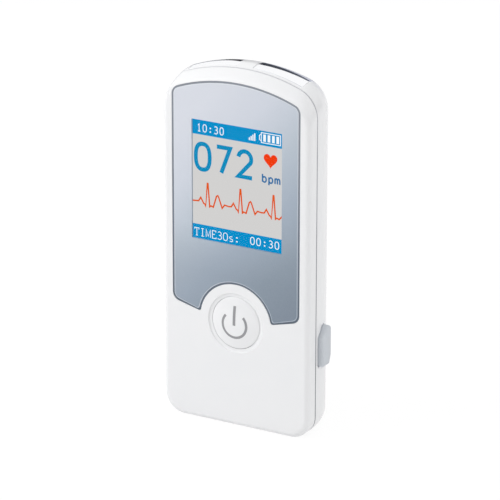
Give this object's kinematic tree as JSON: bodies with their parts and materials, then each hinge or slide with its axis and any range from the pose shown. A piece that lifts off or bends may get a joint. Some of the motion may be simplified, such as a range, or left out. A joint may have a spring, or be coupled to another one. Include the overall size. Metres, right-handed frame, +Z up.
{
  "type": "ecg home monitor",
  "caption": "Handheld heart rhythm monitor with colour display, power button, steel finger and chest electrodes, battery door and side socket cover.",
  "frame": {"origin": "middle of the flat base, on the outer face of the base electrode", "axes": "+Z up along the length, +Y from the display face to the back, +X to the right when the display faces you"},
  "size_m": [0.0562, 0.022, 0.122],
  "materials": {
    "white_case": "glossy white moulded plastic",
    "window": "clear acrylic over a silver-blue printed film",
    "tape": "black adhesive foam",
    "display": "lit colour display",
    "backlight": "white diffuser in a plastic frame",
    "ribbon": "amber polyimide",
    "board": "green solder mask",
    "chip": "black moulded epoxy",
    "ceramic_part": "tan ceramic",
    "bright_metal": "tinned or nickel-plated sheet and screws",
    "brass": "turned brass",
    "electrode_steel": "mirror-polished stainless steel",
    "battery_sleeve": "plain printed sleeve",
    "grey_rubber": "satin grey rubber",
    "grey_print": "grey second-shot plastic"
  },
  "bodies": {
    "case": {"front_cover": "white_case", "rear_cover": "white_case", "display_window": "window", "window_adhesive": "tape", "lcd_glass": "display", "lcd_backlight": "backlight", "lcd_pad": "tape", "lcd_ribbon": "ribbon", "main_board": "board", "board_screws": "bright_metal", "processor_chips": "chip", "radio_module": "bright_metal", "quartz_crystal": "bright_metal", "board_capacitors": "ceramic_part", "buzzer": "chip", "usb_socket": "bright_metal", "switch_base": "bright_metal", "electrode_top_left": "electrode_steel", "electrode_top_right": "electrode_steel", "electrode_base": "electrode_steel", "electrode_nuts": "brass", "electrode_contacts": "brass", "battery_left": "battery_sleeve", "battery_right": "battery_sleeve", "battery_springs": "bright_metal", "battery_plates": "bright_metal", "usb_cover_anchor": "grey_rubber", "case_screws": "bright_metal"},
    "button": {"power_button": "white_case", "power_symbol": "grey_print", "switch_plunger": "chip"},
    "door": {"battery_door": "white_case"},
    "side_cover": {"usb_cover": "grey_rubber"}
  },
  "joints": [
    {"name": "button_press", "type": "slide", "parent": "case", "child": "button", "axis": [0, 1, 0], "range_m": [0, 0.0006], "stiffness_N_per_m": 800, "springref_m": -0.0015},
    {"name": "door_swing", "type": "hinge", "parent": "case", "child": "door", "pos_m": [0, 0.0104, 0.031], "axis": [-1, 0, 0], "range_deg": [0, 75]},
    {"name": "side_cover_swing", "type": "hinge", "parent": "case", "child": "side_cover", "pos_m": [0.0273, -0.0013, 0.0244], "axis": [0, 1, 0], "range_deg": [0, 60]}
  ]
}
